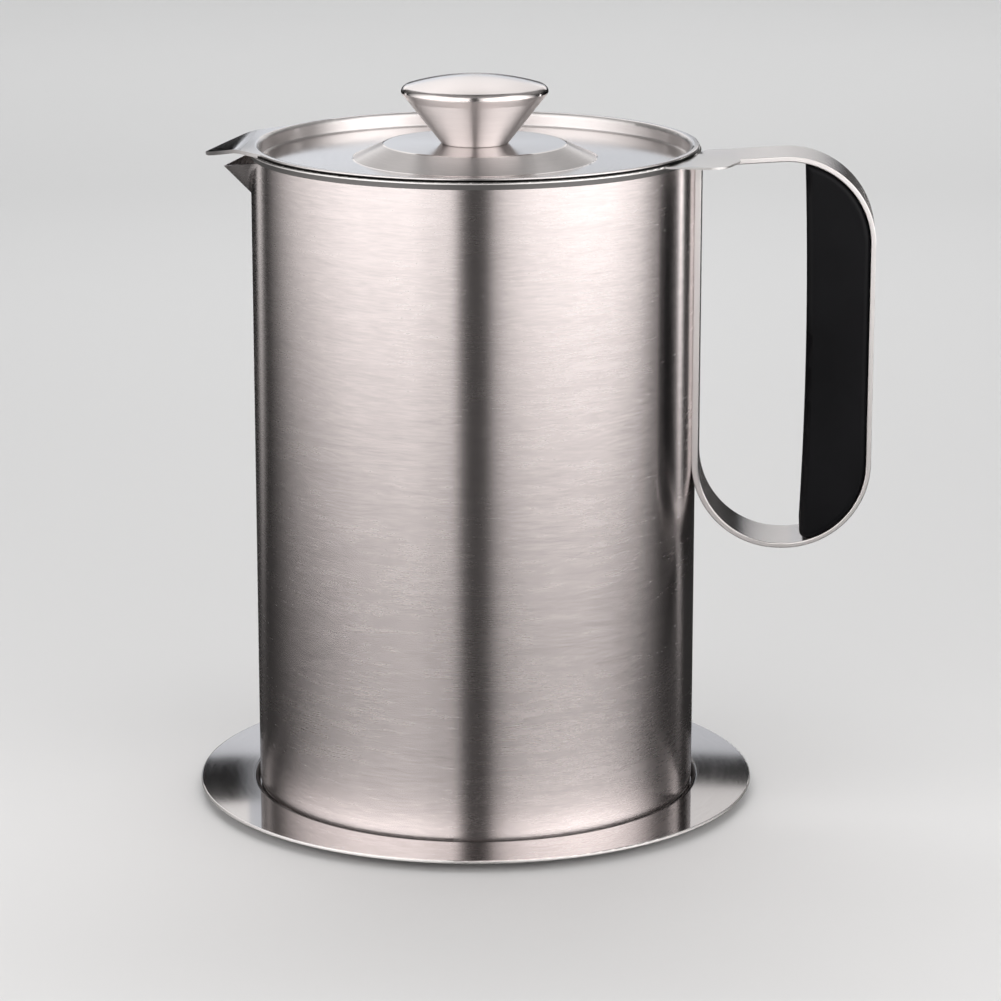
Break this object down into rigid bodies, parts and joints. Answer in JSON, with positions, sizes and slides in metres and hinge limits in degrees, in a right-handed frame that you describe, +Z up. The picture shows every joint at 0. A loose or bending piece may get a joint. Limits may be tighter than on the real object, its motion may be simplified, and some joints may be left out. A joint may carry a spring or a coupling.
{
  "type": "oil strainer jug",
  "caption": "Cylindrical brushed steel jug with a pouring spout and strap handle with a black grip, a lift-out strainer, a sunken lid with beak and conical knob, on a saucer.",
  "frame": {"origin": "middle of the saucer's underside, on the jug's axis", "axes": "+Z up along the jug's axis, +X towards the handle, -X towards the spout"},
  "size_m": [0.1685, 0.14, 0.1812],
  "materials": {
    "jug_steel": "brushed around the wall",
    "tray_steel": "satin, turned",
    "strap_steel": "satin",
    "lid_steel": "satin, turned",
    "knob_steel": "satin, turned",
    "strainer_steel": "plain drawn",
    "mesh_steel": "wire",
    "fastener_steel": "plain",
    "grip_plastic": "smooth moulded, satin black"
  },
  "bodies": {
    "saucer": {"tray": "tray_steel"},
    "jug": {"jug_body": "jug_steel", "handle_strap": "strap_steel", "handle_grip": "grip_plastic", "grip_screws": "fastener_steel"},
    "strainer": {"strainer_bowl": "strainer_steel", "strainer_mesh": "mesh_steel", "mesh_ring": "strainer_steel"},
    "lid": {"lid_pan": "lid_steel", "knob_cone": "knob_steel", "knob_cap": "knob_steel", "knob_insert": "fastener_steel", "knob_washer": "fastener_steel", "knob_screw": "fastener_steel"}
  },
  "joints": [
    {"name": "jug_lift", "type": "slide", "parent": "saucer", "child": "jug", "axis": [0, 0, 1], "range_m": [0, 0.03]},
    {"name": "strainer_lift", "type": "slide", "parent": "jug", "child": "strainer", "axis": [0, 0, 1], "range_m": [0, 0.07]},
    {"name": "lid_lift", "type": "slide", "parent": "strainer", "child": "lid", "axis": [0, 0, 1], "range_m": [0, 0.05]}
  ]
}
